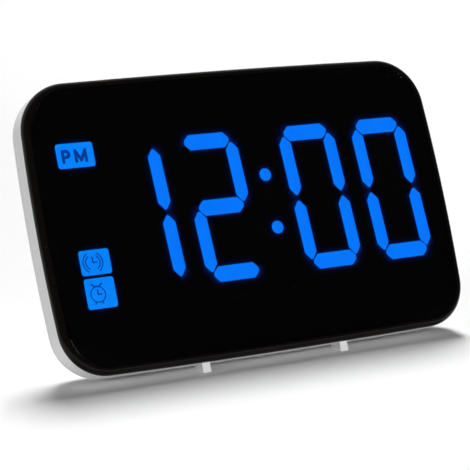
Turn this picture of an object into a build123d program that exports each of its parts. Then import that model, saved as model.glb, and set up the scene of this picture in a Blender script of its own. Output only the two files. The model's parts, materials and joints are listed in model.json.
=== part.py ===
from build123d import *
import os
from math import cos, hypot, radians, sin, tan

# A bedside digital alarm clock. A black front with a lit display leans back on a pale moulded
# case, and the battery pod behind it is the stand. Sizes are in millimetres.
# Depth is measured square to the front face, towards the back. Rise is measured up the face
# from its centre. +X is the viewer's right, the front looks towards -Y, and the table is Z = 0.

# Case
case_width = 150.0
case_height = 94.0
side_bow = 1.7
top_bow = 0.75
upper_corner_radius = 16.5
lower_corner_radius = 15.1
lean_angle = 23.5
rear_room = 6.7
flat_margin = 2.2
wall = 1.9
seat_gap = 0.15
slide_gap = 0.3

# Front frame
parting_depth = 2.4
edge_radius = 2.0
lip_wall = 1.0
lip_round = 0.35
tongue_wall = 1.6
tongue_length = 3.4
plate_thickness = 1.5

# Front lens and its tape
lens_inset = 2.3
lens_thickness = 1.5
lens_chamfer = 0.25
tape_thickness = 0.2
tape_width = 3.0

# Display window and light block
window_side = 8.5
window_width = case_width - 2 * window_side
window_margin = 18.5
window_height = case_height - 2 * window_margin
window_rise = 0.8
mask_thickness = 0.5
block_thickness = 6.5
insert_length = 2.5
insert_gap = 0.1
cell_ledge_width = 0.5

# Seven-segment digits
digit_left = 18.9
digit_right = 3.7
digit_top = 5.7
digit_bottom = 7.8
digit_gap = 11.2
pair_gap = 20.0
digit_count = 4
digit_slant = 2.2
bar_stroke = 4.9
bar_taper = 1.0
bar_overlap = 0.15
bar_tip_radius = 1.5
post_stroke = 4.2
post_taper = 1.3
post_setback = 0.65
post_tip_radius = 0.7
dot_radius = 2.1
dot_inset = 2.0

# Indicator tiles
tile_side = 8.45
tile_top = 2.4
tile_bottom = 1.95
tile_gap = 1.0
tile_radius = 0.9
pm_width = 12.6
pm_height = 7.9
chime_width = 10.2
chime_height = 7.9
alarm_width = 10.0
alarm_height = 9.6

# Circuit board and what it carries
board_setback = 0.5
board_width = window_width - 2 * board_setback
board_thickness = 1.2
board_margin = 2.6
board_boss_radius = 2.2
led_length = 2.0
led_width = 1.25
led_height = 0.8
blob_column = -22.0
blob_rise = -6.0
blob_radius = 7.0
blob_height = 1.8
crystal_rise = -8.0
crystal_radius = 1.5
crystal_length = 8.0
crystal_round = 0.5
capacitor_column = 20.0
capacitor_rise = -14.0
capacitor_radius = 3.1
capacitor_length = 10.0
capacitor_round = 0.5

# Screws
case_screw_side = 17.0
case_screw_margin = 8.0
case_screw_column = case_width / 2 - case_screw_side
case_screw_rise = case_height / 2 - case_screw_margin
case_boss_radius = 3.0
case_boss_depth = 10.0
case_tube_radius = 3.6
case_head_radius = 2.5
case_head_height = 1.8
case_shaft_radius = 1.25
case_seat_thickness = 2.4
board_head_radius = 2.1
board_head_height = 1.4
board_shaft_radius = 1.0
screw_gap = 0.05
screw_grip = 4.0
pilot_floor = 0.8

# Snooze bar on the top edge
snooze_length = 62.0
snooze_width = 6.0
snooze_clearance = 1.0
snooze_depth = parting_depth + tongue_length + snooze_clearance + snooze_width / 2
snooze_proud = 0.8
snooze_travel = 0.6
snooze_round = 0.3
snooze_flange_drop = 7.6
snooze_flange_rise = case_height / 2 - snooze_flange_drop
snooze_post_radius = 1.4
side_switch_drop = 8.8
side_switch_rise = snooze_flange_rise - side_switch_drop
side_switch_height = 4.0
side_plunger_radius = 1.1
side_plunger_length = 3.2

# Rear buttons and their switches
button_length = 9.4
button_width = 5.4
control_side = 24.0
control_steps = 6
first_button = control_side - case_width / 2
button_pitch = (case_width - 2 * control_side) / control_steps
button_proud = 0.7
button_round = 0.4
button_travel = 0.5
flange_lap = 1.2
flange_thickness = 0.8
button_drop = 1.7
button_rise = side_switch_rise - button_drop - flange_lap - button_width / 2
switch_size = 6.0
plunger_radius = 1.5
plunger_length = 1.3

# Alarm slide switch
slider_step = 4
slider_column = first_button + slider_step * button_pitch
slider_travel = 3.0
knob_length = 2.2
knob_width = 2.0
knob_proud = 1.0
knob_root = 2.2
housing_wall = 1.6

# Sounder
piezo_column = case_width / 2 - control_side
piezo_drop = 3.0
piezo_rise = button_rise - piezo_drop
piezo_radius = 10.0
piezo_thickness = 0.3
ceramic_radius = 7.0
ceramic_thickness = 0.25
ring_wall = 1.5
ring_height = 1.3
sound_hole_radius = 0.9
sound_hole_pitch = 3.2
inner_hole_count = 6
outer_hole_count = 12

# Battery bay, cells and contacts
cell_radius = 5.25
cell_length = 43.7
nub_radius = 1.9
nub_length = 0.8
cell_gap = 0.5
cell_pitch = 2 * cell_radius + cell_gap
cell_count = 3
bay_height = cell_count * cell_pitch
bay_base = 6.0
bay_wall = 1.6
rib_width = 0.8
rib_height = 2.6
contact_thickness = 0.4
contact_width = 7.0
leaf_height = 3.0
leaf_span = 6.0
contact_gap = 0.1

# Battery pod, the stand
pod_side = 24.15
pod_width = cell_length + 2 * pod_side
pod_front_room = 23.5
pod_reach = 2 * cell_radius + pod_front_room
pod_roof_room = 7.0
pod_height = bay_base + bay_height + pod_roof_room
pod_top_drop = 13.0
pod_top_rise = button_rise - pod_top_drop
pod_root_depth = 10.0
pod_radius = 4.0
pod_clearance = 1.9
foot_spacing = 51.0
foot_width = 2.8
foot_drop = 2.9
foot_front_depth = 4.3
foot_root_depth = 10.3
pad_radius = 4.5
pad_side = 10.0
pad_column = pod_width / 2 - pad_side
pad_setback = 9.0
pad_recess = 0.8

# Battery door
door_tongue = 1.2
door_lip = 0.9
door_tongue_thickness = 0.9
door_lap = 3.4
door_sill = 1.2
grip_length = 16.0
grip_width = 1.0
grip_pitch = 2.2
grip_height = 0.4
grip_count = 4
grip_drop = 10.0

# Power inlet
jack_side = 9.0
jack_column = pod_width / 2 - jack_side
jack_rise = 22.0
jack_width = 9.0
jack_length = 10.5
jack_nose_radius = 4.2
jack_bore_radius = 2.9
jack_bore_depth = 9.0
jack_pin_radius = 1.0
jack_pin_setback = 1.5
jack_pin_round = 0.5

# Wires
lead_radius = 0.6
lead_bend = 1.2
lead_stub = 1.6
lead_pitch = 4.0
battery_lead_drop = 9.0
battery_lead_rise = bay_base + bay_height - battery_lead_drop
battery_lead_column = -12.0
jack_lead_shift = 5.0
jack_lead_column = jack_column - jack_lead_shift
jack_lead_rise = -20.0
piezo_lead_run = 6.0

# The leaning face, and planes that follow it
sin_lean = sin(radians(lean_angle))
cos_lean = cos(radians(lean_angle))
front_reach = (case_height / 2 - edge_radius) * sin_lean + edge_radius * (1 - cos_lean)
face_y = (front_reach - pod_reach - grip_height) / 2
face_z = (case_height / 2 + foot_drop) * cos_lean + foot_front_depth * sin_lean
face = Plane(origin=(0, face_y, face_z), x_dir=(1, 0, 0), z_dir=(0, -cos_lean, sin_lean))
side = Plane(origin=face.origin, x_dir=face.z_dir * -1, z_dir=(1, 0, 0))
outward = Axis(face.origin, face.z_dir)
upward = Axis(face.origin, face.y_dir)
pod_rear_y = face_y + pod_reach
rear = Plane.XZ.offset(-pod_rear_y)

# Depths of the layers behind the face
lens_seat_depth = lens_thickness + tape_thickness
plate_depth = lens_seat_depth + plate_thickness
mask_depth = lens_thickness + insert_gap
block_depth = mask_depth + mask_thickness
board_depth = block_depth + block_thickness
board_back = board_depth + board_thickness
case_depth = board_back + rear_room
inner_back = case_depth - wall
tongue_inset = lip_wall + seat_gap
tongue_end = parting_depth + tongue_length
back_radius = case_depth - tongue_end - flat_margin
board_screw_column = -first_button - button_pitch / 2
board_screw_rise = window_height / 2 + seat_gap + board_boss_radius + insert_gap
board_height = 2 * (board_screw_rise + board_margin)

# Places in the display, measured from the window's edges
window_top = window_rise + window_height / 2
window_bottom = window_rise - window_height / 2
digit_room = window_width - digit_left - digit_right - 2 * digit_gap - pair_gap
column_pitch = digit_room / digit_count
row_pitch = (window_height - digit_top - digit_bottom) / 2
digit_rise = window_bottom + digit_bottom + row_pitch
digit_pitch = column_pitch + digit_gap
first_digit = digit_left + column_pitch / 2 - window_width / 2
minute_pair = first_digit + digit_pitch + column_pitch + pair_gap
digits = {
    "hour_tens": first_digit,
    "hour_units": first_digit + digit_pitch,
    "minute_tens": minute_pair,
    "minute_units": minute_pair + digit_pitch,
}
dot_column = (digits["hour_units"] + digits["minute_tens"]) / 2
dot_pitch = row_pitch - 2 * dot_inset
slant_run = tan(radians(digit_slant))
tile_column = tile_side - window_width / 2
pm_rise = window_top - tile_top - pm_height / 2
alarm_rise = window_bottom + tile_bottom + alarm_height / 2
chime_rise = alarm_rise + (alarm_height + chime_height) / 2 + tile_gap
tiles = {
    "pm": (pm_width, pm_height, pm_rise),
    "chime": (chime_width, chime_height, chime_rise),
    "alarm": (alarm_width, alarm_height, alarm_rise),
}
button_columns = {
    "time": first_button,
    "alarm": first_button + button_pitch,
    "plus": first_button + 2 * button_pitch,
    "minus": first_button + 3 * button_pitch,
}


def depth_plane(depth):
    return face.offset(-depth)


def rise_plane(rise):
    return Plane(origin=face.from_local_coords((0, rise, 0)), x_dir=(1, 0, 0), z_dir=face.y_dir)


def case_point(rise, depth):
    # Y and Z of a point in the case's middle plane
    return (face_y + rise * sin_lean + depth * cos_lean, face_z + rise * cos_lean - depth * sin_lean)


def level_rise(height, depth):
    # the rise at which a given height above the table is met, at some depth
    return (height - face_z + depth * sin_lean) / cos_lean


def corners(column, rise):
    return [(sx * column, sy * rise) for sx in (-1, 1) for sy in (-1, 1)]


def case_outline(plane, inset):
    # the front's bowed, round-cornered outline
    half_width = case_width / 2 - inset
    half_height = case_height / 2 - inset
    corner_x = half_width - side_bow
    corner_y = half_height - top_bow
    with BuildSketch(plane) as shape:
        with BuildLine():
            ThreePointArc((-corner_x, -corner_y), (0, -half_height), (corner_x, -corner_y))
            ThreePointArc((corner_x, -corner_y), (half_width, 0), (corner_x, corner_y))
            ThreePointArc((corner_x, corner_y), (0, half_height), (-corner_x, corner_y))
            ThreePointArc((-corner_x, corner_y), (-half_width, 0), (-corner_x, -corner_y))
        make_face()
        fillet(shape.vertices().group_by(Axis.Y)[0], lower_corner_radius - inset)
        fillet(shape.vertices().group_by(Axis.Y)[-1], upper_corner_radius - inset)
    return shape.sketch


def case_body(inset):
    # the case's outer form behind the front frame, or its hollow
    with BuildPart() as body:
        extrude(case_outline(depth_plane(parting_depth), inset), amount=parting_depth + inset - case_depth)
        fillet(body.faces().sort_by(outward)[0].edges(), back_radius - inset)
    return body.part


def pod_body(inset):
    # the pod's outer form, or its hollow
    roof_root = case_point(pod_top_rise, pod_root_depth)
    base_root = case_point(level_rise(pod_clearance, pod_root_depth), pod_root_depth)
    with BuildPart() as body:
        with BuildSketch(Plane.YZ):
            with BuildLine():
                Polyline(
                    roof_root, (pod_rear_y, pod_height), (pod_rear_y, pod_clearance), base_root, close=True
                )
            make_face()
            offset(amount=-inset, kind=Kind.INTERSECTION, mode=Mode.REPLACE)
        extrude(amount=pod_width / 2 - inset, both=True)
        root_edges = body.faces().sort_by(Axis.Y)[0].edges()
        fillet(body.edges() - root_edges, pod_radius - inset)
    return body.part


def slanted(column, rise):
    # a place in the display, moved sideways with the digits' slant
    return (column - slant_run * rise, digit_rise + rise)


def bar_places(column):
    return [slanted(column, row * row_pitch) for row in (-1, 0, 1)]


def post_places(column):
    return [
        slanted(column + hand * column_pitch / 2, half * row_pitch / 2)
        for hand in (-1, 1)
        for half in (-1, 1)
    ]


def dot_places():
    return [slanted(dot_column, half * dot_pitch / 2) for half in (-1, 1)]


def segment(length, stroke, taper, tip_radius, grow):
    # one lit bar, pointed at both ends, with its points rounded
    reach = length / 2 + grow * hypot(1, taper)
    half = stroke / 2 + grow
    shoulder = reach - taper * half
    with BuildSketch() as shape:
        Polygon(
            (reach, 0), (shoulder, half), (-shoulder, half),
            (-reach, 0), (-shoulder, -half), (shoulder, -half),
        )
        ends = shape.vertices().group_by(Axis.X)
        fillet(ends[0] + ends[-1], tip_radius + grow)
    return shape.sketch


def digit_shape(column, grow):
    bar = segment(column_pitch + 2 * bar_overlap, bar_stroke, bar_taper, bar_tip_radius, grow)
    post = segment(row_pitch - 2 * post_setback, post_stroke, post_taper, post_tip_radius, grow)
    with BuildSketch() as shape:
        with Locations(*bar_places(column)):
            add(bar)
        with Locations(*post_places(column)):
            add(post, rotation=90 + digit_slant)
    return shape.sketch


def dots_shape(grow):
    with BuildSketch() as shape:
        with Locations(*dot_places()):
            Circle(dot_radius + grow)
    return shape.sketch


def tile_shape(label, grow):
    width, height, rise = tiles[label]
    with BuildSketch() as shape:
        with Locations((tile_column, rise)):
            RectangleRounded(width + 2 * grow, height + 2 * grow, tile_radius + grow)
    return shape.sketch


def display_shape(grow):
    # every lit window of the display
    with BuildSketch() as shape:
        for column in digits.values():
            add(digit_shape(column, grow))
        add(dots_shape(grow))
        for label in tiles:
            add(tile_shape(label, grow))
    return shape.sketch


def window_shape(grow):
    with BuildSketch() as shape:
        with Locations((0, window_rise)):
            Rectangle(window_width + 2 * grow, window_height + 2 * grow)
    return shape.sketch


def light_centres():
    # the middle of every window, where its lamp sits
    points = [(tile_column, rise) for width, height, rise in tiles.values()]
    points += dot_places()
    for column in digits.values():
        points += bar_places(column) + post_places(column)
    return points


def screw(plane, places, head_radius, head_height, shaft_radius, shaft_length):
    # pan-head screws, heads behind the plane and shafts in front of it
    with BuildPart() as group:
        with BuildSketch(plane):
            with Locations(*places):
                Circle(head_radius)
        extrude(amount=-head_height)
        with BuildSketch(plane):
            with Locations(*places):
                Circle(shaft_radius)
        extrude(amount=shaft_length)
    return group


def lead(points):
    # one insulated wire with round bends
    with BuildPart() as wire:
        with BuildLine() as route:
            FilletPolyline(*points, radius=lead_bend)
        with BuildSketch(Plane(origin=route.line @ 0, z_dir=route.line % 0)):
            Circle(lead_radius)
        sweep(path=route.line)
    return wire.part


def board_lead(start, column, rise):
    # a wire from the pod, heading forward, to the back of the circuit board
    leave = (start[0], start[1] - lead_stub, start[2])
    arrive = face.from_local_coords((column, rise, -board_back - lead_stub))
    end = face.from_local_coords((column, rise, -board_back))
    return lead([start, leave, arrive, end])


pieces = {}

# Front frame: rounded edge, lens recess, display window, tongue and screw bosses
board_bosses = [(x, window_rise + y) for x, y in corners(board_screw_column, board_screw_rise)]
case_bosses = corners(case_screw_column, case_screw_rise)
with BuildPart() as front_bezel:
    extrude(case_outline(face, 0), amount=-parting_depth)
    fillet(front_bezel.faces().sort_by(outward)[-1].edges(), edge_radius)
    extrude(case_outline(depth_plane(lens_seat_depth), tongue_inset), amount=lens_seat_depth - tongue_end)
    extrude(case_outline(face, lens_inset), amount=-lens_seat_depth, mode=Mode.SUBTRACT)
    extrude(
        case_outline(depth_plane(plate_depth), tongue_inset + tongue_wall),
        amount=plate_depth - tongue_end,
        mode=Mode.SUBTRACT,
    )
    with BuildSketch(depth_plane(lens_seat_depth)):
        add(window_shape(seat_gap))
    extrude(amount=-plate_thickness, mode=Mode.SUBTRACT)
    with BuildSketch(depth_plane(plate_depth)):
        with Locations(*board_bosses):
            Circle(board_boss_radius)
    extrude(amount=plate_depth - board_depth)
    with BuildSketch(depth_plane(plate_depth)):
        with Locations(*case_bosses):
            Circle(case_boss_radius)
    extrude(amount=plate_depth - case_boss_depth)
    with BuildSketch(depth_plane(plate_depth + pilot_floor)):
        with Locations(*board_bosses):
            Circle(board_shaft_radius + screw_gap)
    extrude(amount=plate_depth + pilot_floor - board_depth, mode=Mode.SUBTRACT)
    with BuildSketch(depth_plane(plate_depth + pilot_floor)):
        with Locations(*case_bosses):
            Circle(case_shaft_radius + screw_gap)
    extrude(amount=plate_depth + pilot_floor - case_boss_depth, mode=Mode.SUBTRACT)
pieces["front_bezel"] = front_bezel

# Smoked front lens, flush with the frame
with BuildPart() as front_lens:
    extrude(case_outline(face, lens_inset + seat_gap), amount=-lens_thickness)
    chamfer(front_lens.faces().sort_by(outward)[-1].edges(), lens_chamfer)
pieces["front_lens"] = front_lens

# Adhesive ring that holds the lens in its recess
with BuildPart() as lens_tape:
    extrude(case_outline(depth_plane(lens_thickness), lens_inset + seat_gap), amount=-tape_thickness)
    extrude(
        case_outline(depth_plane(lens_thickness), lens_inset + seat_gap + tape_width),
        amount=-tape_thickness,
        mode=Mode.SUBTRACT,
    )
pieces["lens_tape"] = lens_tape

# Black mask with a window for every segment and tile
with BuildPart() as display_mask:
    with BuildSketch(depth_plane(mask_depth)):
        add(window_shape(0))
        add(display_shape(insert_gap), mode=Mode.SUBTRACT)
    extrude(amount=-mask_thickness)
pieces["display_mask"] = display_mask

# Diffusing inserts that fill the windows
for label, column in digits.items():
    with BuildPart() as digit_segments:
        with BuildSketch(depth_plane(mask_depth)):
            add(digit_shape(column, 0))
        extrude(amount=-insert_length)
    pieces[label + "_segments"] = digit_segments

with BuildPart() as colon_dots:
    with BuildSketch(depth_plane(mask_depth)):
        add(dots_shape(0))
    extrude(amount=-insert_length)
pieces["colon_dots"] = colon_dots

for label in tiles:
    with BuildPart() as indicator_tile:
        with BuildSketch(depth_plane(mask_depth)):
            add(tile_shape(label, 0))
        extrude(amount=-insert_length)
    pieces[label + "_indicator"] = indicator_tile

# Light block: each insert sits on a step at the mouth of its own cell
with BuildPart() as light_block:
    with BuildSketch(depth_plane(block_depth)):
        add(window_shape(0))
        add(display_shape(-cell_ledge_width), mode=Mode.SUBTRACT)
    extrude(amount=-block_thickness)
    with BuildSketch(depth_plane(block_depth)):
        add(display_shape(insert_gap))
    extrude(amount=mask_thickness - insert_length, mode=Mode.SUBTRACT)
pieces["light_block"] = light_block

# Circuit board behind the light block
with BuildPart() as circuit_board:
    with BuildSketch(depth_plane(board_depth)):
        with Locations((0, window_rise)):
            Rectangle(board_width, board_height)
        with Locations(*board_bosses):
            Circle(board_shaft_radius + seat_gap, mode=Mode.SUBTRACT)
    extrude(amount=-board_thickness)
pieces["circuit_board"] = circuit_board

with BuildPart() as led_chips:
    with BuildSketch(depth_plane(board_depth)):
        with Locations(*light_centres()):
            Rectangle(led_length, led_width)
    extrude(amount=led_height)
pieces["led_chips"] = led_chips

board_screw_length = board_thickness + screw_grip
board_screws = screw(
    depth_plane(board_back), board_bosses,
    board_head_radius, board_head_height, board_shaft_radius, board_screw_length,
)
pieces["board_screws"] = board_screws

# Epoxy blob over the clock chip, quartz can and smoothing capacitor, on the board's back
with BuildPart() as chip_blob:
    with BuildSketch(side.offset(blob_column)):
        with BuildLine():
            dome = EllipticalCenterArc((board_back, blob_rise), blob_height, blob_radius)
            Polyline(dome @ 1, (board_back, blob_rise), dome @ 0)
        make_face()
    blob_foot = face.from_local_coords((blob_column, blob_rise, -board_back))
    revolve(axis=Axis(blob_foot, face.z_dir))
pieces["chip_blob"] = chip_blob

with BuildPart() as quartz_can:
    with BuildSketch(side):
        with Locations((board_back + crystal_radius, crystal_rise)):
            Circle(crystal_radius)
    extrude(amount=crystal_length)
    fillet(quartz_can.faces().sort_by(Axis.X)[-1].edges(), crystal_round)
pieces["quartz_can"] = quartz_can

with BuildPart() as smoothing_capacitor:
    with BuildSketch(depth_plane(board_back)):
        with Locations((capacitor_column, capacitor_rise)):
            Circle(capacitor_radius)
    extrude(amount=-capacitor_length)
    fillet(smoothing_capacitor.faces().sort_by(outward)[0].edges(), capacitor_round)
pieces["smoothing_capacitor"] = smoothing_capacitor

# Rear buttons: cap and flange, a plunger, and the switch that springs them back
flange_depth = inner_back - slide_gap
plunger_top = flange_depth - flange_thickness
switch_top = plunger_top - button_travel - slide_gap
plunger_foot = plunger_top - plunger_length
plunger_floor = plunger_foot - button_travel - slide_gap
for label, column in button_columns.items():
    with BuildPart() as button_cap:
        with BuildSketch(depth_plane(flange_depth)):
            with Locations((column, button_rise)):
                SlotOverall(button_length + 2 * flange_lap, button_width + 2 * flange_lap)
        extrude(amount=flange_thickness)
        with BuildSketch(depth_plane(flange_depth)):
            with Locations((column, button_rise)):
                SlotOverall(button_length, button_width)
        extrude(amount=flange_depth - case_depth - button_proud)
        fillet(button_cap.faces().sort_by(outward)[0].edges(), button_round)
    pieces[label + "_button"] = button_cap
    with BuildPart() as plunger:
        with BuildSketch(depth_plane(plunger_top)):
            with Locations((column, button_rise)):
                Circle(plunger_radius)
        extrude(amount=plunger_length)
    pieces[label + "_plunger"] = plunger

with BuildPart() as button_switches:
    switch_places = [(column, button_rise) for column in button_columns.values()]
    with BuildSketch(depth_plane(board_back)):
        with Locations(*switch_places):
            Rectangle(switch_size, switch_size)
    extrude(amount=board_back - switch_top)
    with BuildSketch(depth_plane(switch_top)):
        with Locations(*switch_places):
            Circle(plunger_radius + slide_gap)
    extrude(amount=switch_top - plunger_floor, mode=Mode.SUBTRACT)
pieces["button_switches"] = button_switches

# Alarm on and off slide switch: a slotted housing and its knob
knob_rest = slider_column - slider_travel / 2
slider_slot = knob_length + slider_travel + 2 * slide_gap
knob_slot_width = knob_width + 2 * slide_gap
housing_top = inner_back - slide_gap
with BuildPart() as switch_housing:
    with BuildSketch(depth_plane(board_back)):
        with Locations((slider_column, button_rise)):
            Rectangle(slider_slot + 2 * housing_wall, knob_slot_width + 2 * housing_wall)
    extrude(amount=board_back - housing_top)
    with BuildSketch(depth_plane(housing_top)):
        with Locations((slider_column, button_rise)):
            Rectangle(slider_slot, knob_slot_width)
    extrude(amount=knob_root + slide_gap, mode=Mode.SUBTRACT)
pieces["switch_housing"] = switch_housing

with BuildPart() as switch_knob:
    with BuildSketch(depth_plane(housing_top - knob_root)):
        with Locations((knob_rest, button_rise)):
            Rectangle(knob_length, knob_width)
    extrude(amount=housing_top - knob_root - case_depth - knob_proud)
    fillet(switch_knob.faces().sort_by(outward)[0].edges(), button_round)
pieces["switch_knob"] = switch_knob

# Snooze bar: follows the case's top edge, with a flange below and a post to its switch
side_switch_axis = board_back + (inner_back - board_back) / 2
side_switch_top = side_switch_rise + side_switch_height
post_foot = side_switch_top + snooze_travel + 2 * slide_gap
with BuildPart() as snooze_bar:
    with BuildSketch(rise_plane(snooze_flange_rise)):
        with Locations((0, snooze_depth)):
            SlotOverall(snooze_length, snooze_width)
    extrude(amount=case_height / 2)
    add(case_body(-snooze_proud), mode=Mode.INTERSECT)
    with BuildSketch(rise_plane(snooze_flange_rise)):
        with Locations((0, snooze_depth)):
            SlotOverall(snooze_length + 2 * flange_lap, snooze_width + 2 * flange_lap)
    extrude(amount=-flange_thickness)
    with BuildSketch(rise_plane(snooze_flange_rise - flange_thickness)):
        with Locations((0, side_switch_axis)):
            Circle(snooze_post_radius)
    extrude(amount=post_foot + flange_thickness - snooze_flange_rise)
    fillet(snooze_bar.faces().sort_by(upward)[-1].edges(), snooze_round)
pieces["snooze_bar"] = snooze_bar

with BuildPart() as snooze_plunger:
    with BuildSketch(rise_plane(post_foot)):
        with Locations((0, side_switch_axis)):
            Circle(side_plunger_radius)
    extrude(amount=-side_plunger_length)
pieces["snooze_plunger"] = snooze_plunger

with BuildPart() as snooze_switch:
    with BuildSketch(rise_plane(side_switch_rise)):
        with Locations((0, side_switch_axis)):
            Rectangle(switch_size, 2 * (side_switch_axis - board_back))
    extrude(amount=side_switch_height)
    with BuildSketch(rise_plane(side_switch_top)):
        with Locations((0, side_switch_axis)):
            Circle(side_plunger_radius + slide_gap)
    extrude(
        amount=post_foot - side_plunger_length - snooze_travel - slide_gap - side_switch_top,
        mode=Mode.SUBTRACT,
    )
pieces["snooze_switch"] = snooze_switch

# Sounder: a brass disc with a ceramic face, on a ring moulded inside the back
piezo_depth = inner_back - ring_height
with BuildPart() as piezo_disc:
    with BuildSketch(depth_plane(piezo_depth)):
        with Locations((piezo_column, piezo_rise)):
            Circle(piezo_radius)
    extrude(amount=piezo_thickness)
pieces["piezo_disc"] = piezo_disc

with BuildPart() as piezo_ceramic:
    with BuildSketch(depth_plane(piezo_depth - piezo_thickness)):
        with Locations((piezo_column, piezo_rise)):
            Circle(ceramic_radius)
    extrude(amount=ceramic_thickness)
pieces["piezo_ceramic"] = piezo_ceramic

# Battery bay sizes, measured from the pod's rear wall
door_thickness = door_lip + door_tongue_thickness
bay_floor_y = pod_rear_y - door_thickness - 2 * cell_radius - 2 * contact_gap - slide_gap
bay_length = cell_length + nub_length + leaf_height + 2 * contact_thickness + 2 * contact_gap
bay_middle = bay_base + bay_height / 2
cell_y = bay_floor_y + contact_gap + cell_radius
door_width = bay_length + 2 * door_lap
door_base = bay_base - door_sill
seat_width = door_width + 2 * (slide_gap + bay_wall)
seat_thickness = door_thickness + bay_wall
bay_depth = pod_rear_y - bay_floor_y

# The bay's walls, the door's seat behind them and the ribs between cells
with BuildPart() as bay_core:
    with BuildSketch(rear):
        with Locations((0, pod_height / 2)):
            Rectangle(seat_width, pod_height)
    extrude(amount=seat_thickness)
    with BuildSketch(rear):
        with Locations((0, bay_middle)):
            Rectangle(bay_length + 2 * bay_wall, bay_height + 2 * bay_wall)
    extrude(amount=bay_depth + bay_wall)
    add(pod_body(0), mode=Mode.INTERSECT)
    with BuildSketch(rear):
        with Locations((0, bay_middle)):
            Rectangle(bay_length, bay_height)
    extrude(amount=bay_depth, mode=Mode.SUBTRACT)
    with BuildSketch(rear.offset(bay_depth)):
        with Locations((0, bay_middle)):
            with GridLocations(0, cell_pitch, 1, 2):
                Rectangle(bay_length, rib_width)
    extrude(amount=-rib_height)

# Rear shell: case and pod moulded in one, hollow, with the openings for what it carries
button_places = [(column, button_rise) for column in button_columns.values()]
head_depth = case_boss_depth + case_seat_thickness
with BuildPart() as hollow:
    add(case_body(wall))
    add(pod_body(wall))

with BuildPart() as rear_shell:
    # front feet
    for hand in (-1, 1):
        with BuildSketch(side.offset(hand * foot_spacing / 2 - foot_width / 2)):
            with BuildLine():
                root_rise = back_radius - case_height / 2
                Polyline(
                    (foot_front_depth, root_rise),
                    (foot_front_depth, level_rise(0, foot_front_depth)),
                    (foot_root_depth, level_rise(0, foot_root_depth)),
                    (foot_root_depth, root_rise),
                    close=True,
                )
            make_face()
        extrude(amount=foot_width)
    # case and pod, with a softened front edge
    add(case_body(0))
    add(pod_body(0))
    fillet(rear_shell.faces().sort_by(outward)[-1].edges(), lip_round)
    # the hollow inside
    add(hollow.part, mode=Mode.SUBTRACT)
    # rabbet for the front frame's tongue
    extrude(
        case_outline(depth_plane(parting_depth), lip_wall),
        amount=-tongue_length - seat_gap,
        mode=Mode.SUBTRACT,
    )
    add(bay_core.part)
    # screw tubes and the sounder's ring
    with BuildSketch(depth_plane(case_boss_depth)):
        with Locations(*case_bosses):
            Circle(case_tube_radius)
    extrude(amount=case_boss_depth - inner_back)
    with BuildSketch(depth_plane(piezo_depth)):
        with Locations((piezo_column, piezo_rise)):
            Circle(piezo_radius + seat_gap)
            Circle(piezo_radius - ring_wall, mode=Mode.SUBTRACT)
    extrude(amount=piezo_depth - inner_back)
    # screw holes, with room for the heads
    with BuildSketch(depth_plane(case_boss_depth)):
        with Locations(*case_bosses):
            Circle(case_shaft_radius + seat_gap)
    extrude(amount=-case_seat_thickness, mode=Mode.SUBTRACT)
    with BuildSketch(depth_plane(head_depth)):
        with Locations(*case_bosses):
            Circle(case_head_radius + slide_gap)
    extrude(amount=head_depth - case_depth, mode=Mode.SUBTRACT)
    # buttons, slide switch and sound holes
    with BuildSketch(depth_plane(case_depth)):
        with Locations(*button_places):
            SlotOverall(button_length + 2 * slide_gap, button_width + 2 * slide_gap)
        with Locations((slider_column, button_rise)):
            Rectangle(slider_slot, knob_slot_width)
        with Locations((piezo_column, piezo_rise)):
            Circle(sound_hole_radius)
            with PolarLocations(sound_hole_pitch, inner_hole_count):
                Circle(sound_hole_radius)
            with PolarLocations(2 * sound_hole_pitch, outer_hole_count):
                Circle(sound_hole_radius)
    extrude(amount=wall, mode=Mode.SUBTRACT)
    # snooze slot
    with BuildSketch(rise_plane(snooze_flange_rise)):
        with Locations((0, snooze_depth)):
            SlotOverall(snooze_length + 2 * slide_gap, snooze_width + 2 * slide_gap)
    extrude(amount=case_height / 2, mode=Mode.SUBTRACT)
    # door recess, its side channels and the bay behind it, open at the top
    with BuildSketch(rear):
        with Locations((0, door_base)):
            Rectangle(
                door_width - 2 * door_tongue + 2 * slide_gap, pod_height, align=(Align.CENTER, Align.MIN)
            )
    extrude(amount=door_thickness, mode=Mode.SUBTRACT)
    with BuildSketch(rear.offset(door_lip)):
        with Locations((0, door_base)):
            Rectangle(door_width + 2 * slide_gap, pod_height, align=(Align.CENTER, Align.MIN))
    extrude(amount=door_tongue_thickness, mode=Mode.SUBTRACT)
    with BuildSketch(rear):
        with Locations((0, bay_middle)):
            Rectangle(bay_length, bay_height)
    extrude(amount=seat_thickness, mode=Mode.SUBTRACT)
    # power inlet and rubber pads
    with BuildSketch(rear):
        with Locations((jack_column, jack_rise)):
            Circle(jack_nose_radius + seat_gap)
    extrude(amount=wall, mode=Mode.SUBTRACT)
    with BuildSketch(Plane.XY.offset(pod_clearance)):
        with Locations((-pad_column, pod_rear_y - pad_setback), (pad_column, pod_rear_y - pad_setback)):
            Circle(pad_radius + seat_gap)
    extrude(amount=pad_recess, mode=Mode.SUBTRACT)
pieces["rear_shell"] = rear_shell

case_screw_length = case_seat_thickness + screw_grip
case_screws = screw(
    depth_plane(head_depth), case_bosses,
    case_head_radius, case_head_height, case_shaft_radius, case_screw_length,
)
pieces["case_screws"] = case_screws

with BuildPart() as rear_pads:
    with BuildSketch(Plane.XY):
        with Locations((-pad_column, pod_rear_y - pad_setback), (pad_column, pod_rear_y - pad_setback)):
            Circle(pad_radius)
    extrude(amount=pod_clearance + pad_recess)
pieces["rear_pads"] = rear_pads

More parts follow.
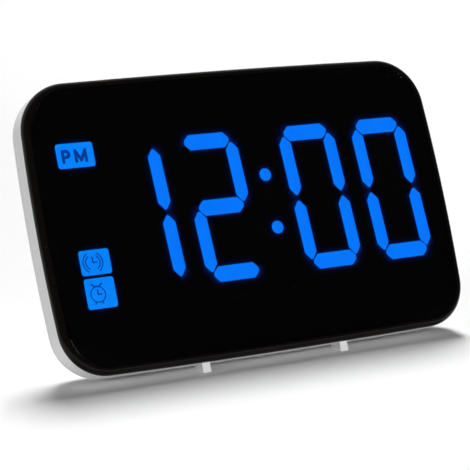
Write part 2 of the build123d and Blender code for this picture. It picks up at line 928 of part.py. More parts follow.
# Battery door: a plate with side tongues, cut to the pod's rounded top, with finger ridges
with BuildPart() as battery_door:
    with BuildSketch(rear):
        with Locations((0, door_base + slide_gap)):
            Rectangle(door_width - 2 * door_tongue, pod_height, align=(Align.CENTER, Align.MIN))
    extrude(amount=door_thickness - slide_gap)
    with BuildSketch(rear.offset(door_lip + slide_gap)):
        with Locations((0, door_base + slide_gap)):
            Rectangle(door_width, pod_height, align=(Align.CENTER, Align.MIN))
    extrude(amount=door_tongue_thickness - 2 * slide_gap)
    add(pod_body(0), mode=Mode.INTERSECT)
    with BuildSketch(rear):
        with Locations((0, pod_height - grip_drop)):
            with GridLocations(0, grip_pitch, 1, grip_count):
                SlotOverall(grip_length, grip_width)
    extrude(amount=-grip_height)
pieces["battery_door"] = battery_door

# Three cells, the middle one turned round, and their contacts
with BuildPart() as battery_cells:
    for row in (-1, 0, 1):
        turn = 1 if row else -1
        middle_x = -turn * (leaf_height + contact_gap) / 2 + turn * leaf_height
        start_x = middle_x - turn * (cell_length + nub_length) / 2
        with BuildSketch(Plane.YZ.offset(start_x)):
            with Locations((cell_y, bay_middle + row * cell_pitch)):
                Circle(cell_radius)
        extrude(amount=turn * cell_length)
        with BuildSketch(Plane.YZ.offset(start_x + turn * cell_length)):
            with Locations((cell_y, bay_middle + row * cell_pitch)):
                Circle(nub_radius)
        extrude(amount=turn * nub_length)
pieces["battery_cells"] = battery_cells

with BuildPart() as battery_contacts:
    with BuildSketch(Plane.XZ.offset(-cell_y)):
        for row in (-1, 0, 1):
            turn = 1 if row else -1
            plate_z = bay_middle + row * cell_pitch
            with Locations((0, plate_z)):
                with GridLocations(bay_length - contact_thickness, 0, 2, 1):
                    Rectangle(contact_thickness, contact_width)
            # bowed leaf that presses on the flat end of the cell
            plate_x = turn * (contact_thickness - bay_length / 2)
            with BuildLine():
                ThreePointArc(
                    (plate_x, plate_z - leaf_span / 2),
                    (plate_x + turn * leaf_height, plate_z),
                    (plate_x, plate_z + leaf_span / 2),
                )
                ThreePointArc(
                    (plate_x, plate_z - leaf_span / 2 + contact_thickness),
                    (plate_x + turn * (leaf_height - contact_thickness), plate_z),
                    (plate_x, plate_z + leaf_span / 2 - contact_thickness),
                )
                for end in (-1, 1):
                    outer_z = plate_z + end * leaf_span / 2
                    Line((plate_x, outer_z), (plate_x, outer_z - end * contact_thickness))
            make_face()
    extrude(amount=contact_width / 2, both=True)
pieces["battery_contacts"] = battery_contacts

# Power inlet: a block with a round nose and bore, and the pin inside it
jack_front_y = pod_rear_y - wall - jack_length
with BuildPart() as power_jack:
    with BuildSketch(rear.offset(wall)):
        with Locations((jack_column, jack_rise)):
            Rectangle(jack_width, jack_width)
    extrude(amount=jack_length)
    with BuildSketch(rear):
        with Locations((jack_column, jack_rise)):
            Circle(jack_nose_radius)
    extrude(amount=wall)
    with BuildSketch(rear):
        with Locations((jack_column, jack_rise)):
            Circle(jack_bore_radius)
    extrude(amount=jack_bore_depth, mode=Mode.SUBTRACT)
pieces["power_jack"] = power_jack

with BuildPart() as jack_pin:
    with BuildSketch(rear.offset(jack_bore_depth)):
        with Locations((jack_column, jack_rise)):
            Circle(jack_pin_radius)
    extrude(amount=jack_pin_setback - jack_bore_depth)
    fillet(jack_pin.faces().sort_by(Axis.Y)[-1].edges(), jack_pin_round)
pieces["jack_pin"] = jack_pin

# Wires from the bay, the inlet and the sounder to the circuit board
with BuildPart() as battery_leads:
    for hand in (-1, 1):
        start_x = battery_lead_column + hand * lead_pitch / 2
        start = (start_x, bay_floor_y - bay_wall, battery_lead_rise)
        add(board_lead(start, start_x, level_rise(battery_lead_rise, board_back)))
pieces["battery_leads"] = battery_leads

with BuildPart() as jack_leads:
    for hand in (-1, 1):
        offset_x = hand * lead_pitch / 2
        start = (jack_column + offset_x, jack_front_y, jack_rise)
        add(board_lead(start, jack_lead_column + offset_x, jack_lead_rise))
pieces["jack_leads"] = jack_leads

with BuildPart() as piezo_leads:
    lead_start = piezo_depth - piezo_thickness - ceramic_thickness
    lead_middle = (lead_start + board_back) / 2
    for hand in (-1, 1):
        column = piezo_column + hand * lead_pitch / 2
        route = [
            (column, piezo_rise, -lead_start),
            (column, piezo_rise, -lead_middle),
            (column, piezo_rise - piezo_lead_run, -lead_middle),
            (column, piezo_rise - piezo_lead_run, -board_back),
        ]
        add(lead([face.from_local_coords(point) for point in route]))
pieces["piezo_leads"] = piezo_leads

os.makedirs("parts", exist_ok=True)
for label, piece in pieces.items():
    piece.part.label = label
    export_step(piece.part, f"parts/{label}.step")
    print(label, len(piece.part.solids()), round(piece.part.volume, 1))
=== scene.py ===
import bmesh
import bpy
import json
from math import exp, hypot, pi, radians, tan, tau
from mathutils import Matrix, Vector


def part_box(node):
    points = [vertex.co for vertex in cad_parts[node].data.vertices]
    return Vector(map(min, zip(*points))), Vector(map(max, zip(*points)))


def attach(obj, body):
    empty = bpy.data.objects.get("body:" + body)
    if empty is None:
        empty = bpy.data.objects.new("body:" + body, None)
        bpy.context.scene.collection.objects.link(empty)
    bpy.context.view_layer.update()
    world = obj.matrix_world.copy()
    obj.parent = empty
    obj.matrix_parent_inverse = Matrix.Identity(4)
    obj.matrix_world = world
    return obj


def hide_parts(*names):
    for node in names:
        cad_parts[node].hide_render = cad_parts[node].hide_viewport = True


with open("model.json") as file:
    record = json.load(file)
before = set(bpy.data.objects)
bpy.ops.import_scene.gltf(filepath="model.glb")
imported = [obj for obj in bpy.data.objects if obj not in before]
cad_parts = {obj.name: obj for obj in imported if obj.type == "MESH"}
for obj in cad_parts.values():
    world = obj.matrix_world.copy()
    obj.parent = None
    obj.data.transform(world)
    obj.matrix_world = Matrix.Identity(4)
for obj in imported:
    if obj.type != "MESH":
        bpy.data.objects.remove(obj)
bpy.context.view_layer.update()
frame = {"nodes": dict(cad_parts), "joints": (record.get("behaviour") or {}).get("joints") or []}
nodes = frame["nodes"]
print("frame loaded,", len(nodes), "nodes")

# The clock leans back. Pieces on its face or back are modelled flat, then turned onto it.
joints = {joint["name"]: joint for joint in frame["joints"]}
faceOut = Vector(joints["time_press"]["axis"]).normalized()
faceUp = -Vector(joints["snooze_press"]["axis"]).normalized()
faceRight = faceUp.cross(faceOut)
faceTurn = Matrix((faceRight, faceUp, faceOut)).transposed().to_4x4()
backTurn = Matrix((-faceRight, faceUp, -faceOut)).transposed().to_4x4()


def boxIn(name, matrix):
    toLocal = matrix.inverted()
    points = [toLocal @ vert.co for vert in nodes[name].data.vertices]
    return Vector(map(min, *points)), Vector(map(max, *points))


def middle(low, high):
    return (low + high) / 2


lensLow, lensHigh = boxIn("front_lens", faceTurn)
faceCentre = faceTurn @ Vector((*middle(lensLow, lensHigh).xy, lensHigh.z))
faceMatrix = Matrix.Translation(faceCentre) @ faceTurn


def faceBox(name):
    return boxIn(name, faceMatrix)


# Shared steps for new pieces
makeLook = {
    "sharpAngle": radians(35),   # steeper edges stay sharp on a smooth piece
    "cornerSteps": 6,
    "arcSteps": 40,
    "endRound": 0.98,            # share of a stroke's half width that its round ends take up
}


def at(x, y, z=0.0):
    return Matrix.Translation((x, y, z))


def joinInto(bm, part, matrix=None, materialIndex=0):
    # with no index, the faces keep the ones that they have
    if matrix:
        bmesh.ops.transform(part, matrix=matrix, verts=part.verts)
    bmesh.ops.recalc_face_normals(part, faces=part.faces)
    if materialIndex is not None:
        for face in part.faces:
            face.material_index = materialIndex
    spare = bpy.data.meshes.new("spare")
    part.to_mesh(spare)
    part.free()
    bm.from_mesh(spare)
    bpy.data.meshes.remove(spare)


def addPiece(name, bm, finishes, body, matrix=None, replaced=(), smooth=False):
    if matrix:
        bmesh.ops.transform(bm, matrix=matrix, verts=bm.verts)
    mesh = bpy.data.meshes.new(name)
    bm.to_mesh(mesh)
    bm.free()
    for finish in finishes:
        mesh.materials.append(finish)
    if smooth:
        mesh.shade_smooth()
        mesh.set_sharp_from_angle(angle=makeLook["sharpAngle"])
    piece = bpy.data.objects.new(name, mesh)
    bpy.context.scene.collection.objects.link(piece)
    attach(piece, body)
    if replaced:
        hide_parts(*replaced)


def thicken(part, depth):
    # gives flat faces a back, below their front
    lifted = bmesh.ops.extrude_face_region(part, geom=part.faces[:])["geom"]
    moved = [item for item in lifted if isinstance(item, bmesh.types.BMVert)]
    bmesh.ops.translate(part, vec=(0, 0, -depth), verts=moved)


def plateFrom(outline, depth, rounded, radius, steps=makeLook["cornerSteps"]):
    # a flat plate from a few corners, its front at zero and its back below
    part = bmesh.new()
    corners = [part.verts.new((x, y, 0)) for x, y in outline]
    part.faces.new(corners)
    bmesh.ops.bevel(
        part, geom=[corners[index] for index in rounded], offset=radius,
        affect="VERTICES", segments=steps, profile=0.5, material=-1,
    )
    thicken(part, depth)
    return part


def barStroke(start, end, width, height):
    # a short printed or moulded line with round ends, standing on zero
    start, end = Vector(start), Vector(end)
    along = (end - start).normalized() * width / 2
    across = along.orthogonal()
    corners = (start - along + across, start - along - across, end + along - across, end + along + across)
    part = plateFrom(corners, height, range(4), width / 2 * makeLook["endRound"])
    bmesh.ops.translate(part, vec=(0, 0, height), verts=part.verts)
    return part


def strokesFrom(lines, width, height):
    bm = bmesh.new()
    for start, end in lines:
        joinInto(bm, barStroke(start, end, width, height))
    return bm


def arcStroke(radius, width, height, start=0.0, sweep=tau):
    # a line bent round the origin, standing on zero
    part = bmesh.new()
    half = width / 2
    section = ((-half, 0), (half, 0), (half, height), (-half, height))
    ring = [part.verts.new((radius + x, 0, z)) for x, z in section]
    closed = sweep == tau
    if closed:
        profile = [part.edges.new((ring[index - 1], ring[index])) for index in range(4)]
    else:
        profile = [part.faces.new(ring)]
        bmesh.ops.rotate(part, cent=(0, 0, 0), matrix=Matrix.Rotation(start, 3, "Z"), verts=part.verts)
    bmesh.ops.spin(
        part, geom=profile, cent=(0, 0, 0), axis=(0, 0, 1), angle=sweep, steps=makeLook["arcSteps"],
        use_merge=closed, use_duplicate=False,
    )
    return part


def disc(radius, height):
    # a round plate standing on zero
    part = bmesh.new()
    bmesh.ops.create_cone(
        part, cap_ends=True, segments=makeLook["arcSteps"], radius1=radius, radius2=radius, depth=height,
    )
    bmesh.ops.translate(part, vec=(0, 0, height / 2), verts=part.verts)
    return part


def handsInto(bm, hands, line, rise):
    # a clock's two hands, at three o'clock
    up, across = hands
    joinInto(bm, barStroke((0, 0), (0, up), line, rise))
    joinInto(bm, barStroke((0, 0), (across, 0), line, rise))


# Shared surface effects
def newGroup(name, inputs, outputs):
    group = bpy.data.node_groups.new(name, "ShaderNodeTree")
    for label, start in inputs.items():
        socket = group.interface.new_socket(name=label, in_out="INPUT", socket_type="NodeSocketFloat")
        socket.default_value = start
    for label in outputs:
        group.interface.new_socket(name=label, in_out="OUTPUT", socket_type="NodeSocketFloat")
    return group, group.nodes.new("NodeGroupInput"), group.nodes.new("NodeGroupOutput")


def addNode(tree, kind, links=None, **settings):
    node = tree.nodes.new("ShaderNode" + kind)
    for key, value in settings.items():
        if hasattr(node, key):
            setattr(node, key, value)
        else:
            node.inputs[key.replace("_", " ")].default_value = value
    for key, source in (links or {}).items():
        tree.links.new(source, node.inputs[key])
    return node


def addMath(tree, operation, first, second=None):
    node = addNode(tree, "Math", operation=operation)
    for socket, value in zip(node.inputs, (first, second)):
        if isinstance(value, bpy.types.NodeSocket):
            tree.links.new(value, socket)
        elif value is not None:
            socket.default_value = value
    return node.outputs[0]


def edgeMask(tree, value, low, high):
    # goes from nought at low to one at high
    return addNode(tree, "MapRange", {"Value": value}, From_Min=low, From_Max=high).outputs["Result"]


# moulded grain: a fine spark-eroded texture, with slow clouding from the moulding
grainLook = {
    "grain": 3000.0, "cloud": 40.0, "fineDetail": 3.0, "cloudDetail": 2.0,
    "fineShare": 0.6, "cloudShare": 0.4, "pitShare": 0.5,
}
grainStart = {"Grain": grainLook["grain"], "Cloud": grainLook["cloud"]}
grainGroup, grainIn, grainOut = newGroup("mouldedGrain", grainStart, ["Tone", "Height"])
spot = addNode(grainGroup, "TexCoord").outputs["Object"]
fineFrom = {"Vector": spot, "Scale": grainIn.outputs["Grain"]}
cloudFrom = {"Vector": spot, "Scale": grainIn.outputs["Cloud"]}
fine = addNode(grainGroup, "TexNoise", fineFrom, Detail=grainLook["fineDetail"])
cloud = addNode(grainGroup, "TexNoise", cloudFrom, Detail=grainLook["cloudDetail"])
pits = addNode(grainGroup, "TexVoronoi", fineFrom)
finePart = addMath(grainGroup, "MULTIPLY", fine.outputs["Fac"], grainLook["fineShare"])
cloudPart = addMath(grainGroup, "MULTIPLY", cloud.outputs["Fac"], grainLook["cloudShare"])
pitPart = addMath(grainGroup, "MULTIPLY", pits.outputs["Distance"], grainLook["pitShare"])
tone = addMath(grainGroup, "ADD", finePart, cloudPart)
height = addMath(grainGroup, "ADD", fine.outputs["Fac"], pitPart)
grainGroup.links.new(tone, grainOut.inputs["Tone"])
grainGroup.links.new(height, grainOut.inputs["Height"])

# handling: soft smears and specks of dust on a polished surface
handlingLook = {
    "smear": 60.0, "speck": 900.0, "smearDetail": 4.0, "smearDistortion": 1.2,
    "smearEdge": (0.45, 0.75), "speckEdge": (0.10, 0.04),
}
handlingStart = {"Smear": handlingLook["smear"], "Speck": handlingLook["speck"]}
handlingGroup, handlingIn, handlingOut = newGroup("handling", handlingStart, ["Smears", "Specks"])
spot = addNode(handlingGroup, "TexCoord").outputs["Object"]
smear = addNode(
    handlingGroup, "TexNoise", {"Vector": spot, "Scale": handlingIn.outputs["Smear"]},
    Detail=handlingLook["smearDetail"], Distortion=handlingLook["smearDistortion"],
)
speck = addNode(handlingGroup, "TexVoronoi", {"Vector": spot, "Scale": handlingIn.outputs["Speck"]})
smearMask = edgeMask(handlingGroup, smear.outputs["Fac"], *handlingLook["smearEdge"])
speckMask = edgeMask(handlingGroup, speck.outputs["Distance"], *handlingLook["speckEdge"])
handlingGroup.links.new(smearMask, handlingOut.inputs["Smears"])
handlingGroup.links.new(speckMask, handlingOut.inputs["Specks"])

# drawn metal: fine streaks along one direction
drawnLook = {"streak": 4000.0, "along": 200.0, "detail": 2.0}
drawnStart = {"Streak": drawnLook["streak"], "Along": drawnLook["along"]}
drawnGroup, drawnIn, drawnOut = newGroup("drawnMetal", drawnStart, ["Tone", "Height"])
spot = addNode(drawnGroup, "TexCoord").outputs["Object"]
scales = {"X": drawnIn.outputs["Along"], "Y": drawnIn.outputs["Streak"], "Z": drawnIn.outputs["Streak"]}
stretch = addNode(drawnGroup, "CombineXYZ", scales)
stretched = addNode(drawnGroup, "VectorMath", {0: spot, 1: stretch.outputs[0]}, operation="MULTIPLY")
streaksFrom = {"Vector": stretched.outputs[0]}
streaks = addNode(drawnGroup, "TexNoise", streaksFrom, Scale=1.0, Detail=drawnLook["detail"])
for label in ("Tone", "Height"):
    drawnGroup.links.new(streaks.outputs["Fac"], drawnOut.inputs[label])
print("surface effects made")


# Finishes
finishLook = {"specular": 0.5, "bumpStrength": 0.5, "glowRough": 0.6}


def newFinish(name):
    finish = bpy.data.materials.new(name)
    finish.use_nodes = True
    return finish, finish.node_tree, finish.node_tree.nodes["Principled BSDF"]


def placeGroup(tree, group, **values):
    node = tree.nodes.new("ShaderNodeGroup")
    node.node_tree = group
    for label, value in values.items():
        node.inputs[label].default_value = value
    return node


def blendColour(tree, factor, first, second, target=None):
    blend = addNode(tree, "Mix", data_type="RGBA")
    tree.links.new(factor, blend.inputs["Factor"])
    for socket, colour in ((blend.inputs[6], first), (blend.inputs[7], second)):
        if isinstance(colour, bpy.types.NodeSocket):
            tree.links.new(colour, socket)
        else:
            socket.default_value = (*colour, 1)
    if target:
        tree.links.new(blend.outputs[2], target)
    return blend.outputs[2]


def spread(tree, factor, low, high, target):
    ramp = addNode(tree, "MapRange", {"Value": factor}, To_Min=low, To_Max=high)
    tree.links.new(ramp.outputs["Result"], target)


def addBump(tree, shader, heightSource, depth):
    strength = finishLook["bumpStrength"]
    bump = addNode(tree, "Bump", {"Height": heightSource}, Strength=strength, Distance=depth)
    tree.links.new(bump.outputs["Normal"], shader.inputs["Normal"])


def mouldedFinish(name, look):
    finish, tree, shader = newFinish(name)
    grain = placeGroup(tree, grainGroup, Grain=look["grain"], Cloud=look.get("cloud", grainLook["cloud"]))
    blendColour(tree, grain.outputs["Tone"], look["dark"], look["light"], shader.inputs["Base Color"])
    spread(tree, grain.outputs["Tone"], *look["rough"], shader.inputs["Roughness"])
    addBump(tree, shader, grain.outputs["Height"], look["bump"])
    shader.inputs["Specular IOR Level"].default_value = look.get("specular", finishLook["specular"])
    return finish


def metalFinish(name, look):
    finish, tree, shader = newFinish(name)
    drawn = placeGroup(tree, drawnGroup, Streak=look["streak"], Along=look["along"])
    blendColour(tree, drawn.outputs["Tone"], look["dark"], look["light"], shader.inputs["Base Color"])
    spread(tree, drawn.outputs["Tone"], *look["rough"], shader.inputs["Roughness"])
    addBump(tree, shader, drawn.outputs["Height"], look["bump"])
    shader.inputs["Metallic"].default_value = 1.0
    return finish


def glossFinish(name, look):
    # polished plastic: nearly clean, with smears in the gloss and a few specks
    finish, tree, shader = newFinish(name)
    handling = placeGroup(tree, handlingGroup, Smear=look["smear"], Speck=look["speck"])
    blendColour(tree, handling.outputs["Specks"], look["colour"], look["dust"], shader.inputs["Base Color"])
    spread(tree, handling.outputs["Smears"], *look["rough"], shader.inputs["Roughness"])
    shader.inputs["Specular IOR Level"].default_value = look.get("specular", finishLook["specular"])
    return finish


def glowFinish(name, look):
    # a lit diffuser: colour from the lamp behind it, a little uneven
    finish, tree, shader = newFinish(name)
    grain = placeGroup(tree, grainGroup, Grain=look["grain"], Cloud=look["cloud"])
    blendColour(tree, grain.outputs["Tone"], look["dim"], look["bright"], shader.inputs["Emission Color"])
    shader.inputs["Base Color"].default_value = (*look["body"], 1)
    shader.inputs["Emission Strength"].default_value = look["strength"]
    shader.inputs["Roughness"].default_value = finishLook["glowRough"]
    return finish


shellSilver = mouldedFinish("shellSilver", {
    "dark": (0.60, 0.60, 0.605), "light": (0.77, 0.77, 0.765), "grain": 2600.0, "cloud": 30.0,
    "rough": (0.42, 0.62), "bump": 0.00004,
})
pieceFinishes = {
    "front_bezel": glossFinish("glossBlack", {
        "colour": (0.0035, 0.0028, 0.0025), "dust": (0.02, 0.019, 0.018), "smear": 45.0, "speck": 500.0,
        "rough": (0.12, 0.24), "specular": 0.12,
    }),
    "lens_tape": mouldedFinish("tapeBlack", {
        "dark": (0.0015, 0.0015, 0.0015), "light": (0.003, 0.003, 0.003), "grain": 1500.0,
        "rough": (0.7, 0.9), "bump": 0.00003, "specular": 0.05,
    }),
    "light_block": mouldedFinish("blockWhite", {
        "dark": (0.74, 0.74, 0.72), "light": (0.86, 0.86, 0.84),
        "grain": 1200.0, "rough": (0.45, 0.65), "bump": 0.00003,
    }),
    "circuit_board": mouldedFinish("boardGreen", {
        "dark": (0.012, 0.10, 0.035), "light": (0.03, 0.22, 0.08),
        "grain": 900.0, "cloud": 220.0, "rough": (0.25, 0.45), "bump": 0.00002,
    }),
    "led_chips": mouldedFinish("lampYellow", {
        "dark": (0.72, 0.60, 0.20), "light": (0.90, 0.80, 0.35),
        "grain": 2500.0, "rough": (0.3, 0.5), "bump": 0.00001,
    }),
    "chip_blob": mouldedFinish("epoxyBlack", {
        "dark": (0.008, 0.008, 0.008), "light": (0.03, 0.03, 0.03),
        "grain": 700.0, "rough": (0.2, 0.4), "bump": 0.00003,
    }),
    "quartz_can": metalFinish("canSteel", {
        "dark": (0.50, 0.50, 0.49), "light": (0.68, 0.68, 0.66),
        "streak": 3000.0, "along": 200.0, "rough": (0.2, 0.4), "bump": 0.00001,
    }),
    "smoothing_capacitor": mouldedFinish("sleeveBlack", {
        "dark": (0.012, 0.012, 0.02), "light": (0.04, 0.04, 0.06),
        "grain": 1500.0, "rough": (0.25, 0.4), "bump": 0.00001,
    }),
    "board_screws": metalFinish("boardScrewSteel", {
        "dark": (0.45, 0.45, 0.46), "light": (0.62, 0.62, 0.63),
        "streak": 2500.0, "along": 2500.0, "rough": (0.25, 0.45), "bump": 0.00001,
    }),
    "rear_shell": shellSilver,
    "battery_door": shellSilver,
    "button_switches": mouldedFinish("switchBlack", {
        "dark": (0.02, 0.02, 0.02), "light": (0.05, 0.05, 0.05),
        "grain": 2200.0, "rough": (0.4, 0.6), "bump": 0.00002,
    }),
    "rear_pads": mouldedFinish("padRubber", {
        "dark": (0.02, 0.02, 0.02), "light": (0.055, 0.055, 0.055),
        "grain": 1600.0, "rough": (0.75, 0.95), "bump": 0.00006,
    }),
    "piezo_disc": metalFinish("sounderBrass", {
        "dark": (0.62, 0.44, 0.16), "light": (0.80, 0.62, 0.28),
        "streak": 1800.0, "along": 300.0, "rough": (0.2, 0.4), "bump": 0.00001,
    }),
    "piezo_ceramic": mouldedFinish("sounderWhite", {
        "dark": (0.70, 0.68, 0.62), "light": (0.82, 0.81, 0.76),
        "grain": 3000.0, "rough": (0.5, 0.7), "bump": 0.00001,
    }),
    "battery_contacts": metalFinish("contactNickel", {
        "dark": (0.56, 0.55, 0.52), "light": (0.74, 0.73, 0.70),
        "streak": 2600.0, "along": 150.0, "rough": (0.18, 0.35), "bump": 0.00001,
    }),
    "power_jack": mouldedFinish("jackBlack", {
        "dark": (0.012, 0.012, 0.012), "light": (0.04, 0.04, 0.04),
        "grain": 2200.0, "rough": (0.35, 0.55), "bump": 0.00002,
    }),
    "jack_pin": metalFinish("pinNickel", {
        "dark": (0.60, 0.59, 0.56), "light": (0.76, 0.75, 0.72),
        "streak": 3000.0, "along": 200.0, "rough": (0.15, 0.3), "bump": 0.00001,
    }),
}
keyGrey = mouldedFinish("keyGrey", {
    "dark": (0.36, 0.36, 0.365), "light": (0.52, 0.52, 0.52),
    "grain": 2800.0, "rough": (0.4, 0.6), "bump": 0.00003,
})
plungerTan = mouldedFinish("plungerTan", {
    "dark": (0.40, 0.25, 0.11), "light": (0.56, 0.38, 0.20),
    "grain": 2000.0, "rough": (0.4, 0.6), "bump": 0.00002,
})
for key in ("time", "alarm", "plus", "minus"):
    pieceFinishes[key + "_button"] = keyGrey
    pieceFinishes[key + "_plunger"] = plungerTan
pieceFinishes["snooze_bar"] = keyGrey
pieceFinishes["snooze_plunger"] = plungerTan
for key in ("switch_knob", "switch_housing", "snooze_switch"):
    pieceFinishes[key] = pieceFinishes["button_switches"]


def lensFinish(look):
    # smoked acrylic: see-through, with faint smears in its tint
    finish, tree, shader = newFinish("smokedLens")
    handling = placeGroup(tree, handlingGroup, Smear=look["smear"], Speck=look["speck"])
    blendColour(tree, handling.outputs["Smears"], look["clear"], look["smoky"], shader.inputs["Base Color"])
    shader.inputs["Roughness"].default_value = look["rough"]
    shader.inputs["Transmission Weight"].default_value = 1.0
    shader.inputs["IOR"].default_value = look["index"]
    return finish


lensLook = {
    "clear": (0.30, 0.30, 0.31), "smoky": (0.285, 0.285, 0.295), "smear": 40.0, "speck": 400.0,
    "rough": 0.02, "index": 1.49, "merge": 1e-6,
}
smokedLens = lensFinish(lensLook)
pieceFinishes["front_lens"] = smokedLens


def wireFinish(name, split, look):
    # two wires side by side, one red and one black
    finish, tree, shader = newFinish(name)
    grain = placeGroup(tree, grainGroup, Grain=look["grain"], Cloud=look["cloud"])
    place = addNode(tree, "SeparateXYZ", {"Vector": addNode(tree, "TexCoord").outputs["Object"]})
    isRed = addMath(tree, "GREATER_THAN", place.outputs["X"], split)
    red = blendColour(tree, grain.outputs["Tone"], *look["red"])
    black = blendColour(tree, grain.outputs["Tone"], *look["black"])
    blendColour(tree, isRed, black, red, shader.inputs["Base Color"])
    spread(tree, grain.outputs["Tone"], *look["rough"], shader.inputs["Roughness"])
    return finish


wireLook = {
    "grain": 1200.0, "cloud": 90.0, "rough": (0.35, 0.55),
    "red": ((0.40, 0.02, 0.02), (0.58, 0.04, 0.035)), "black": ((0.01, 0.01, 0.01), (0.03, 0.03, 0.03)),
}
for key in ("battery", "jack", "piezo"):
    split = middle(*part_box(key + "_leads")).x
    pieceFinishes[key + "_leads"] = wireFinish(key + "Wire", split, wireLook)

# Front lens: the solid's own form with its facets joined, so that its edge shades smoothly
bm = bmesh.new()
source = nodes["front_lens"].data
corners = [bm.verts.new(vert.co) for vert in source.vertices]
for triangle in source.polygons:
    bm.faces.new([corners[index] for index in triangle.vertices])
bmesh.ops.remove_doubles(bm, verts=bm.verts, dist=lensLook["merge"])
bmesh.ops.recalc_face_normals(bm, faces=bm.faces)
addPiece("lensPanel", bm, [smokedLens], "case", None, ("front_lens",), smooth=True)
print("lens in place")

# Display: lit and dark segments, read from the solids' places
litBlue = glowFinish("litBlue", {
    "dim": (0.0, 0.165, 0.98), "bright": (0.0, 0.205, 1.0), "body": (0.004, 0.01, 0.03),
    "grain": 900.0, "cloud": 160.0, "strength": 3.5,
})
tileBlue = glowFinish("tileBlue", {
    "dim": (0.0, 0.20, 0.95), "bright": (0.0, 0.26, 1.0), "body": (0.004, 0.01, 0.03),
    "grain": 900.0, "cloud": 200.0, "strength": 3.5,
})
darkSegment = mouldedFinish("darkSegment", {
    "dark": (0.0006, 0.0006, 0.0008), "light": (0.0016, 0.0016, 0.002), "grain": 1500.0,
    "rough": (0.5, 0.7), "bump": 0.00001, "specular": 0.05,
})
glyphBlue = glowFinish("glyphBlue", {
    "dim": (0.0, 0.030, 0.22), "bright": (0.0, 0.042, 0.30), "body": (0.002, 0.006, 0.03),
    "grain": 900.0, "cloud": 200.0, "strength": 3.5,
})
digitLook = {
    "columnPitch": 0.0170,
    "rowPitch": 0.02175,
    "slant": radians(2.2),
    "bar": {"length": 0.0173, "stroke": 0.0049, "taper": 1.0, "tipRound": 0.0015},
    "post": {"length": 0.02045, "stroke": 0.0042, "taper": 1.3, "tipRound": 0.0007},
    "tipSteps": 8,
    "dotRadius": 0.0021,
    "grow": 0.00008,      # light fills the mask's window round each insert
    "proud": 0.00005,     # in front of the mask, behind the lens
    "reading": {
        "hour_tens_segments": "bc",
        "hour_units_segments": "abged",
        "minute_tens_segments": "abcdef",
        "minute_units_segments": "abcdef",
    },
}
litShapes = []     # where light shows: a line's two ends and its half width


def segmentPlan(centre):
    # letter, form, place and turn of a digit's seven segments
    halfPitch, rowPitch = digitLook["columnPitch"] / 2, digitLook["rowPitch"]
    lean = tan(digitLook["slant"])
    plan = []
    for letter, row in zip("agd", (1, 0, -1)):
        place = (centre.x - lean * row * rowPitch, centre.y + row * rowPitch)
        plan.append((letter, digitLook["bar"], place, 0.0))
    for letter, side, row in (("f", -1, 0.5), ("b", 1, 0.5), ("e", -1, -0.5), ("c", 1, -0.5)):
        place = (centre.x + side * halfPitch - lean * row * rowPitch, centre.y + row * rowPitch)
        plan.append((letter, digitLook["post"], place, pi / 2 + digitLook["slant"]))
    return plan


for name, lit in digitLook["reading"].items():
    low, high = faceBox(name)
    bm = bmesh.new()
    for letter, form, place, turn in segmentPlan(middle(low, high)):
        reach = form["length"] / 2 + digitLook["grow"] * hypot(1, form["taper"])
        half = form["stroke"] / 2 + digitLook["grow"]
        shoulder = reach - form["taper"] * half
        outline = (
            (reach, 0), (shoulder, half), (-shoulder, half),
            (-reach, 0), (-shoulder, -half), (shoulder, -half),
        )
        # the bevel takes its width along the sloping edges
        cutBack = form["tipRound"] * form["taper"]
        segment = plateFrom(outline, high.z - low.z, (0, 3), cutBack, digitLook["tipSteps"])
        placed = at(*place, high.z + digitLook["proud"]) @ Matrix.Rotation(turn, 4, "Z")
        joinInto(bm, segment, placed, 0 if letter in lit else 1)
        if letter in lit:
            ends = [(placed @ Vector((side * (reach - half), 0, 0))).xy for side in (-1, 1)]
            litShapes.append((*ends, half))
    digitName = name.replace("_segments", "_digit")
    addPiece(digitName, bm, [litBlue, darkSegment], "case", faceMatrix, (name,))
    pieceFinishes[name] = litBlue

low, high = faceBox("colon_dots")
centre = middle(low, high)
dotRadius = digitLook["dotRadius"]
bm = bmesh.new()
for y in (low.y + dotRadius, high.y - dotRadius):
    place = Vector((centre.x - tan(digitLook["slant"]) * (y - centre.y), y))
    joinInto(bm, disc(dotRadius, high.z - low.z), at(*place, low.z + digitLook["proud"]))
    litShapes.append((place, place, dotRadius))
addPiece("colonDots", bm, [litBlue], "case", faceMatrix, ("colon_dots",))
pieceFinishes["colon_dots"] = litBlue
print("digits lit")

# Indicator tiles with their dark signs
tileLook = {
    "cornerRadius": 0.0009,
    "signHeight": 0.00003,
    "handLine": 0.00045,
    "pm": {
        "shift": (0.0, -0.0002), "height": 0.0045, "line": 0.0010,
        "columns": (-0.0047, -0.0004), "widths": (0.0031, 0.0044),
        "bowl": 0.28,     # radius of the first letter's bowl, in letter heights
        "valley": 0.3,    # foot of the second letter's middle, in lines
    },
    "chime": {
        "shift": (-0.0008, 0.0), "hands": (0.0017, 0.0014),
        "rings": (0.0024, 0.0033), "sweep": radians(118), "line": 0.00038,
    },
    "alarm": {
        "shift": (-0.0010, -0.0003), "hands": (0.001445, 0.00119), "ring": 0.00245, "line": 0.00036,
        # places in radii of the ring, widths in lines
        "ear": ((0.42, 1.10), (0.66, 1.34)), "earWidth": 1.5,
        "foot": ((0.42, -0.98), (0.52, -1.16)), "footWidth": 1.3,
        "bridge": (0.36, 1.06),
    },
}


